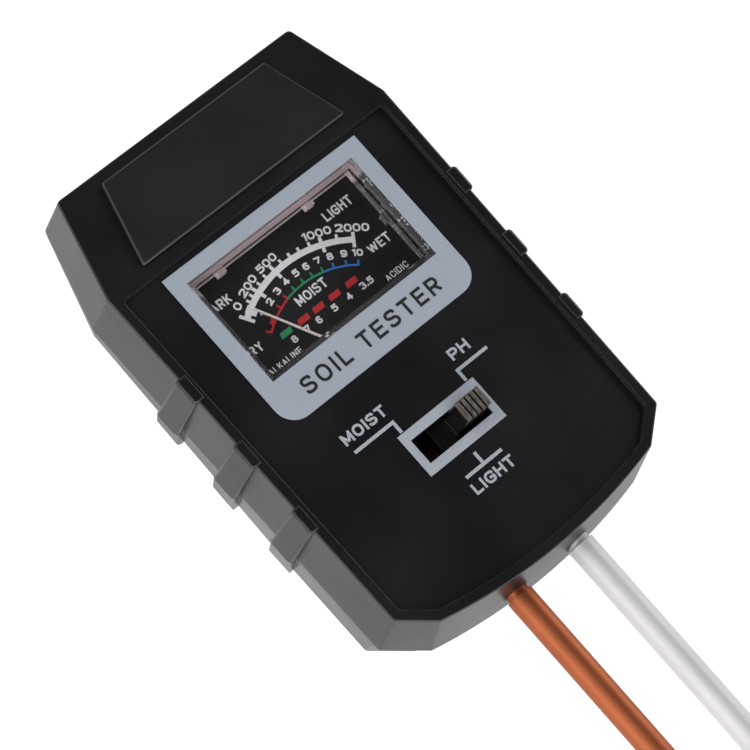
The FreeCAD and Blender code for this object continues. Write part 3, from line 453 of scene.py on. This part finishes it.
def bar(ink, corners):
    """A flat shape from its corners, in millimetres."""
    z = next(LEVELS) * LAYER
    ink.faces.new([ink.verts.new((x * MM, y * MM, z)) for x, y in corners])


def ribbon(ink, points, wide):
    """A band of even width along a path; a path that ends where it starts is closed."""
    closed = (points[0] - points[-1]).length < 1e-6
    path = points[:-1] if closed else points
    z = next(LEVELS) * LAYER
    rails = []
    for i, point in enumerate(path):
        before = path[i - 1] if closed or i > 0 else point
        after = path[(i + 1) % len(path)] if closed or i < len(path) - 1 else point
        run_in = (point - before).normalized() if before != point else (after - point).normalized()
        run_out = (after - point).normalized() if after != point else run_in
        along = (run_in + run_out).normalized()
        side = Vector((-along.y, along.x)) * wide / 2 / max(0.6, along.dot(run_out))
        rails.append([ink.verts.new((p.x * MM, p.y * MM, z)) for p in (point - side, point + side)])
    pairs = list(zip(rails, rails[1:]))
    if closed:
        pairs.append((rails[-1], rails[0]))
    for (a, b), (c, d) in pairs:
        ink.faces.new((a, c, d, b))


def line(ink, start, end, wide):
    ribbon(ink, [Vector(start), Vector(end)], wide)


def print_piece(name, ink, centre, surface_z, finish, film=0.02 * MM):
    """Lays a drawing on a surface as a thin film of ink."""
    for face in ink.faces:
        face.normal_update()
        if face.normal.z < 0:
            face.normal_flip()
    mesh = bpy.data.meshes.new(name)
    ink.to_mesh(mesh)
    ink.free()
    mesh.materials.append(finish)
    piece = bpy.data.objects.new(name, mesh)
    bpy.context.scene.collection.objects.link(piece)
    piece.location = (centre.x, centre.y, surface_z)
    thickness = piece.modifiers.new("film", "SOLIDIFY")
    thickness.thickness = film
    thickness.offset = 1
    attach(piece, "housing")
    print(name, "has", len(mesh.polygons), "faces")
    return piece


# %% [markdown]
# ## Lettering
# Instrument lettering is wide and even, as if drawn with one round-cornered pen. A font file would bring its own
# proportions, so each sign is a few pen strokes in a unit box instead: its width, how far its corners are rounded,
# and its paths. The same signs then serve the dial and the face at any height and weight.

# %% The signs
BOWL = [(0, 0), (1, 0), (1, 1), (0, 1), (0, 0)]
SIGNS = {
    "0": (1.0, 0.5, [BOWL]),
    "1": (0.5, 0.0, [[(0, 0.76), (1, 1)], [(1, 1), (1, 0)]]),
    "2": (1.0, 0.5, [[(0, 0.70), (0, 1), (1, 1), (1, 0.56), (0.05, 0.03)], [(0, 0), (1, 0)]]),
    "3": (1.0, 0.5, [[(0, 0.78), (0, 1), (0.95, 1), (0.95, 0.53), (0.4, 0.53)],
                     [(0.4, 0.53), (1, 0.53), (1, 0), (0, 0), (0, 0.22)]]),
    "4": (1.0, 0.0, [[(0.72, 0), (0.72, 1)], [(0.72, 0.97), (0.02, 0.3)], [(0, 0.27), (1, 0.27)]]),
    "5": (1.0, 0.5, [[(0.95, 1), (0.12, 1)], [(0.12, 1), (0.05, 0.5)],
                     [(0.05, 0.55), (0.3, 0.64), (1, 0.64), (1, 0), (0, 0), (0, 0.22)]]),
    "6": (1.0, 0.5, [[(0.96, 0.8), (0.92, 1), (0, 1), (0, 0), (1, 0), (1, 0.58), (0.02, 0.58)]]),
    "7": (1.0, 0.0, [[(0, 1), (1, 1)], [(0.98, 0.98), (0.4, 0)]]),
    "8": (1.0, 0.5, [[(0.07, 0.53), (0.93, 0.53), (0.93, 1), (0.07, 1), (0.07, 0.53)],
                     [(0, 0), (1, 0), (1, 0.53), (0, 0.53), (0, 0)]]),
    "9": (1.0, 0.5, [[(0.04, 0.2), (0.08, 0), (1, 0), (1, 1), (0, 1), (0, 0.42), (0.98, 0.42)]]),
    ".": (0.0, 0.0, [[(0, 0), (0, 0.03)]]),
    "A": (1.1, 0.0, [[(0, 0), (0.5, 1)], [(0.5, 1), (1, 0)], [(0.22, 0.3), (0.78, 0.3)]]),
    "C": (1.05, 0.5, [[(1, 0.68), (1, 1), (0, 1), (0, 0), (1, 0), (1, 0.32)]]),
    "D": (1.05, 0.5, [[(0, 0), (0, 1)], [(0, 1), (1, 1), (1, 0), (0, 0)]]),
    "E": (0.9, 0.0, [[(0, 0), (0, 1)], [(0, 1), (1, 1)], [(0, 0.52), (0.9, 0.52)], [(0, 0), (1, 0)]]),
    "G": (1.1, 0.5, [[(1, 0.72), (1, 1), (0, 1), (0, 0), (1, 0), (1, 0.46)], [(0.58, 0.46), (1, 0.46)]]),
    "H": (1.0, 0.0, [[(0, 0), (0, 1)], [(1, 0), (1, 1)], [(0, 0.52), (1, 0.52)]]),
    "I": (0.0, 0.0, [[(0, 0), (0, 1)]]),
    "K": (1.0, 0.0, [[(0, 0), (0, 1)], [(1, 1), (0.05, 0.38)], [(0.36, 0.6), (1, 0)]]),
    "L": (0.85, 0.0, [[(0, 1), (0, 0)], [(0, 0), (1, 0)]]),
    "M": (1.25, 0.0, [[(0, 0), (0, 1)], [(0.02, 1), (0.5, 0.12)], [(0.5, 0.12), (0.98, 1)], [(1, 1), (1, 0)]]),
    "N": (1.05, 0.0, [[(0, 0), (0, 1)], [(0, 1), (1, 0)], [(1, 0), (1, 1)]]),
    "O": (1.2, 0.5, [BOWL]),
    "P": (0.95, 0.5, [[(0, 0), (0, 1)], [(0, 1), (1, 1), (1, 0.44), (0, 0.44)]]),
    "R": (1.0, 0.5, [[(0, 0), (0, 1)], [(0, 1), (1, 1), (1, 0.46), (0, 0.46)], [(0.55, 0.46), (1, 0)]]),
    "S": (1.0, 0.5, [[(0.96, 0.76), (0.96, 1), (0, 1), (0, 0.54), (1, 0.5), (1, 0), (0, 0), (0, 0.24)]]),
    "T": (1.0, 0.0, [[(0, 1), (1, 1)], [(0.5, 1), (0.5, 0)]]),
    "W": (1.75, 0.0, [[(0, 1), (0.25, 0)], [(0.25, 0), (0.5, 0.95)], [(0.5, 0.95), (0.75, 0)], [(0.75, 0), (1, 1)]]),
    "Y": (1.05, 0.0, [[(0, 1), (0.5, 0.48)], [(1, 1), (0.5, 0.48)], [(0.5, 0.48), (0.5, 0)]]),
}
print("signs:", "".join(SIGNS))

# %% [markdown]
# ### Rounding a stroke and writing a word
# A corner is rounded by swapping it for a short quadratic curve between the midpoints of its two sides. A word is
# written sign by sign, then turned and moved as a whole, so words can follow a dial.

# %% Write words with the signs
def eased(points, share):
    """The path with its inner corners rounded by a share of each side."""
    closed = points[0] == points[-1]
    corners = points[:-1] if closed else points
    out = [] if closed else [corners[0]]
    for i in range(0 if closed else 1, len(corners) if closed else len(corners) - 1):
        corner = corners[i]
        start = corner.lerp(corners[i - 1], share)
        end = corner.lerp(corners[(i + 1) % len(corners)], share)
        for step in range(7):
            t = step / 6
            out.append(start.lerp(corner, t).lerp(corner.lerp(end, t), t))
    out.append(out[0] if closed else corners[-1])
    return [p for i, p in enumerate(out) if i == 0 or (p - out[i - 1]).length > 1e-4]


def squared_end(points, pen):
    """Upright and level strokes run on by half the pen, so corners close."""
    run = points[1] - points[0]
    if len(points) > 2 or min(abs(run.x), abs(run.y)) > 1e-6:
        return points
    run = run.normalized() * pen / 2
    return [points[0] - run, points[1] + run]


def write(ink, word, at, high, turn=0.0, wide=0.62, pen=0.22, gap=0.16):
    """A word centred on a point. wide, pen and gap are shares of its height; turn is clockwise, in degrees."""
    pen = pen * high
    inner = high - pen
    strokes = []
    x = 0.0
    for sign in word:
        if sign == " ":
            x += 0.55 * high
            continue
        share, rounding, paths = SIGNS[sign]
        width = share * wide * high
        for path in paths:
            points = [Vector((x + px * width, (py - 0.5) * inner)) for px, py in path]
            if rounding > 0 and len(points) > 2:
                points = eased(points, rounding)
            strokes.append(squared_end(points, pen))
        x += width + pen + gap * high
    middle = (x - pen - gap * high) / 2
    a = math.radians(-turn)
    for points in strokes:
        moved = []
        for p in points:
            px = p.x - middle
            moved.append(Vector((at[0] + px * math.cos(a) - p.y * math.sin(a),
                                 at[1] + px * math.sin(a) + p.y * math.cos(a))))
        ribbon(ink, moved, pen)


print("ready to write")

# %% [markdown]
# ## Legends round the switch
# The slot has a pale printed frame, and three leaders say what each position measures. Distances are from the
# middle of the switch, so the print follows the switch.

# %% Print the switch frame and its legends
FRAME_X, FRAME_Y = 8.7, 4.3     # half the frame's length and width
SLOT_X, SLOT_Y = 7.2, 2.5       # half the slot's
legend = bmesh.new()
for side in (-1, 1):
    y = side * (FRAME_Y + SLOT_Y) / 2
    x = side * (FRAME_X + SLOT_X) / 2
    line(legend, (-FRAME_X, y), (FRAME_X, y), FRAME_Y - SLOT_Y)
    line(legend, (x, -SLOT_Y), (x, SLOT_Y), FRAME_X - SLOT_X)
LEADER = 0.62                   # width of a leader
WORD = 2.1                      # height of a legend
for side, far in ((-1, 16.1), (1, 14.3)):
    line(legend, (side * 7.45, 4.5), (side * 7.45, 7.05), LEADER)
    line(legend, (side * 7.14, 6.75), (side * far, 6.75), LEADER)
line(legend, (-0.1, -5.6), (-0.1, -7.9), LEADER)
line(legend, (-4.2, -8.1), (4.0, -8.1), LEADER)
write(legend, "MOIST", (-11.7, 9.4), WORD)
write(legend, "PH", (10.1, 9.4), WORD, wide=0.7)
write(legend, "LIGHT", (-0.1, -10.5), WORD, wide=0.66)
print_piece("switch_legend", legend, switch, face_z, pale_ink)

# %% [markdown]
# ## The label's title
# The title is plain capitals that say what the tool is. It sits in the middle of the band below the window.

# %% Print the title
TITLE_UP = 4.0 * MM             # from the label's lower edge to the middle of the title
title = bmesh.new()
write(title, "SOIL TESTER", (0, 0), 3.1, wide=0.58, pen=0.175, gap=0.28)
band_middle = Vector(((label_low.x + label_high.x) / 2, label_low.y + TITLE_UP, 0))
print_piece("label_title", title, band_middle, label_z, title_ink)

# %% [markdown]
# ## The dial
# Three scales share the dial. Angles are measured clockwise from straight up about the pointer's pivot, which is
# how a dial is laid out, so an arc is a loop over angles and a number is placed by its angle and radius.

# %% Dial helpers
def on_dial(angle, radius):
    a = math.radians(angle)
    return Vector((radius * math.sin(a), radius * math.cos(a)))


def arc(ink, inner, outer, first, last):
    """A curved band between two radii and two angles."""
    steps = max(2, round(abs(last - first)))
    angles = [first + (last - first) * i / steps for i in range(steps + 1)]
    for a, b in zip(angles, angles[1:]):
        bar(ink, [on_dial(a, inner), on_dial(b, inner), on_dial(b, outer), on_dial(a, outer)])


def tick(ink, angle, inner, outer, wide):
    line(ink, on_dial(angle, inner), on_dial(angle, outer), wide)


print("dial centre in mm:", [round(c / MM, 1) for c in pivot])

# %% [markdown]
# ### Light scale
# The outermost scale is a heavy white band. Its divisions are uneven, as the meter answers to light unevenly:
# strong ticks carry the numbers, and weaker ones fill the spaces.

# %% Print the light scale
white = bmesh.new()
arc(white, 21.05, 22.15, -33, 35)
arc(white, 20.3, 22.3, -30.5, -26.5)
for angle in (-33, -19, -6, 20, 35):
    tick(white, angle, 20.2, 23.0, 0.62)
for angle in (-25, -22, -15.5, -11, -1, 4, 9, 14.5, 27.5):
    tick(white, angle, 22.0, 22.85, 0.5)
for angle, number in ((-29, "0"), (-19, "200"), (-6, "500"), (19.5, "1000"), (35, "2000")):
    write(white, number, on_dial(angle, 23.8), 1.5, turn=angle, wide=0.70, pen=0.225, gap=0.1)
print("light scale drawn")

# %% [markdown]
# ### Moisture scale
# Ten numbers stand over a thin arc that runs from red through green to blue. The colours are three inks, so they
# are three pieces.

# %% Print the moisture scale
MOISTURE = [-28, -20, -13, -6, 1, 7.5, 14.5, 21.5, 29, 36]
for number, angle in enumerate(MOISTURE, start=1):
    write(white, str(number), on_dial(angle, 19.25), 1.32, turn=angle, wide=0.66, pen=0.24, gap=0.08)
red, green, blue = bmesh.new(), bmesh.new(), bmesh.new()
for ink, first, last in ((red, -36.5, -13), (green, -13, 14.8), (blue, 14.8, 36.5)):
    arc(ink, 16.85, 17.2, first, last)
arc(red, 16.9, 17.75, -31.5, -27.5)
for angle in [-36.2] + MOISTURE:
    ink = red if angle < -12 else green if angle < 15 else blue
    tick(ink, angle, 17.1, 18.0, 0.36)
print("moisture scale drawn")

# %% [markdown]
# ### Acidity scale and words
# The acidity scale is a straight row of blocks with its numbers below. The words at the ends say what the needle's
# swing means; the ones at the edge run under the window's frame.

# %% Print the acidity scale and the words
for x, ink in ((-8.1, green), (-4.1, red), (-0.7, red), (3.0, red), (6.9, red)):
    bar(ink, [(x - 1.3, 11.65), (x + 1.05, 11.65), (x + 1.3, 12.75), (x - 1.05, 12.75)])
for x, number in ((-7.7, "8"), (-4.7, "7"), (-2.1, "6"), (1.5, "5"), (4.9, "4"), (8.9, "3.5")):
    write(white, number, (x, 10.5), 1.3, wide=0.6, pen=0.225, gap=0.12)
WORDS = {"LIGHT": (14.0, 23.7), "DARK": (-14.3, 22.9), "WET": (15.5, 14.6), "DRY": (-14.9, 13.2),
         "MOIST": (0.2, 15.1)}
for word, place in WORDS.items():
    write(white, word, place, 1.8, wide=0.5, pen=0.185, gap=0.13)
for word, place in {"ACIDIC": (14.5, 8.9), "ALKALINE": (-11.6, 8.5)}.items():
    write(white, word, place, 1.2, wide=0.5, pen=0.15, gap=0.2)
print_piece("dial_print_white", white, pivot, dial_z, dial_white)
print_piece("dial_print_red", red, pivot, dial_z, dial_red)
print_piece("dial_print_green", green, pivot, dial_z, dial_green)
print_piece("dial_print_blue", blue, pivot, dial_z, dial_blue)

# %% [markdown]
# ## Floor
# A plain white sheet lies under the object. It glows a little as well as taking light, which keeps it pale all
# round and gives the black walls something bright to mirror. Without it they would be lost.

# %% Pale floor
def pale_floor(name):
    material, tree, shader, coords = new_finish(name)
    weave = noise(tree, coords, 400, detail=3)
    shade = blend_colours(tree, weave, [(0.3, (0.36, 0.36, 0.36)), (0.7, (0.40, 0.40, 0.40))])
    tree.links.new(shade, shader.inputs["Base Color"])
    shader.inputs["Roughness"].default_value = 0.9
    shader.inputs["Specular IOR Level"].default_value = 0.0
    shader.inputs["Emission Color"].default_value = (1, 1, 1, 1)
    shader.inputs["Emission Strength"].default_value = 0.84
    return material


FLOOR_GAP = 0.02 * MM
bpy.ops.mesh.primitive_plane_add(size=6.0, location=(0, 0, cad_low.z - FLOOR_GAP))
floor = bpy.context.object
floor.name = "floor"
floor.data.materials.append(pale_floor("floor_white"))
print("floor at", round(floor.location.z / MM, 3), "mm")

# %% [markdown]
# ## Light
# The black face must stay black while every edge is drawn by a thin highlight. So the studio is a light tent with
# a dark ceiling: the face mirrors the ceiling, and edges and walls mirror the bright sides and the floor. The
# tent is the world's own shader, bright towards the horizon and dark overhead, and a few soft lamps add to it.

# %% Light tent
world = bpy.data.worlds.new("studio")
world.use_nodes = True
bpy.context.scene.world = world
sky = world.node_tree
towards = sky.nodes.new("ShaderNodeTexCoord")
split = sky.nodes.new("ShaderNodeSeparateXYZ")
sky.links.new(towards.outputs["Generated"], split.inputs["Vector"])
SIDES = 1.15
CEILING = 0.04
height = sky.nodes.new("ShaderNodeMapRange")
height.interpolation_type = "SMOOTHSTEP"
height.inputs["From Min"].default_value = 0.30
height.inputs["From Max"].default_value = 0.72
height.inputs["To Min"].default_value = SIDES
height.inputs["To Max"].default_value = CEILING
sky.links.new(split.outputs["Z"], height.inputs["Value"])
tent = sky.nodes["Background"]
tent.inputs["Color"].default_value = (0.97, 0.98, 1.0, 1)
sky.links.new(height.outputs["Result"], tent.inputs["Strength"])
bright = sky.nodes.new("ShaderNodeBackground")
bright.inputs["Strength"].default_value = 1.0
seen = sky.nodes.new("ShaderNodeLightPath")
either = sky.nodes.new("ShaderNodeMixShader")
sky.links.new(seen.outputs["Is Camera Ray"], either.inputs["Fac"])
sky.links.new(tent.outputs["Background"], either.inputs[1])
sky.links.new(bright.outputs["Background"], either.inputs[2])
sky.links.new(either.outputs["Shader"], sky.nodes["World Output"].inputs["Surface"])
print("tent sides", SIDES, "ceiling", CEILING)

# %% [markdown]
# ### Lamps
# One softbox stands on the left and one beyond the probes, both low. They give the ribs and the rim their brighter
# lines, and leave a faint shadow that sets the object on the floor. A third, small and on the right, is mirrored by
# anything that slopes that way: the knob's ridges and the right side of the rim. The fourth stands high at the far
# left, where the face doesn't mirror it, and reaches the dial at the bottom of its recess. Light that has gone
# through the window already counts by the shadow rays, so the lamps are hidden from refracted rays; counting them
# twice would sprinkle bright specks on the dial.

# %% Four softboxes
def softbox(name, place, size, watts):
    lamp = bpy.data.lights.new(name, "AREA")
    lamp.shape = "RECTANGLE"
    lamp.size = size[0]
    lamp.size_y = size[1]
    lamp.energy = watts
    holder = bpy.data.objects.new(name, lamp)
    bpy.context.scene.collection.objects.link(holder)
    holder.location = place
    holder.rotation_mode = "QUATERNION"
    holder.rotation_quaternion = (Vector((0, 0, face_z)) - Vector(place)).to_track_quat("-Z", "Y")
    holder.visible_transmission = False


softbox("left_softbox", (-0.95, -0.25, 0.50), (1.4, 0.7), 7.0)
softbox("probe_end_softbox", (-0.25, -1.0, 0.45), (1.4, 0.7), 8.5)
softbox("right_softbox", (0.95, 0.10, 0.50), (0.4, 0.3), 3.0)
softbox("upper_softbox", (-0.52, 0.42, 0.92), (0.5, 0.5), 3.6)
bpy.context.scene.view_settings.view_transform = "Standard"

# %% [markdown]
# ## Camera
# A long lens from about 0.7 m looks down on the face, tilted to show the left wall and the probe end. The camera
# is placed by angles: how far it leans from straight above, which way it leans, and which way is up in the frame.

# %% Camera
LEAN = math.radians(23.52)
BEARING = math.radians(198.02)
UP_IN_FRAME = math.radians(47.79)
DISTANCE = 0.6878
aim = Vector((-4.23 * MM, -7.23 * MM, face_z))
back = Vector((math.sin(LEAN) * math.cos(BEARING), math.sin(LEAN) * math.sin(BEARING), math.cos(LEAN)))
up = Vector((math.cos(UP_IN_FRAME), math.sin(UP_IN_FRAME), 0))
across = up.cross(back).normalized()
upright = back.cross(across)
lens = bpy.data.cameras.new("camera")
lens.sensor_width = 36.0
lens.lens = 199.3
camera = bpy.data.objects.new("camera", lens)
bpy.context.scene.collection.objects.link(camera)
turn = Matrix((across, upright, back)).transposed().to_4x4()
camera.matrix_world = Matrix.Translation(aim + back * DISTANCE) @ turn
bpy.context.scene.camera = camera
print("camera at", [round(c, 3) for c in camera.matrix_world.translation])
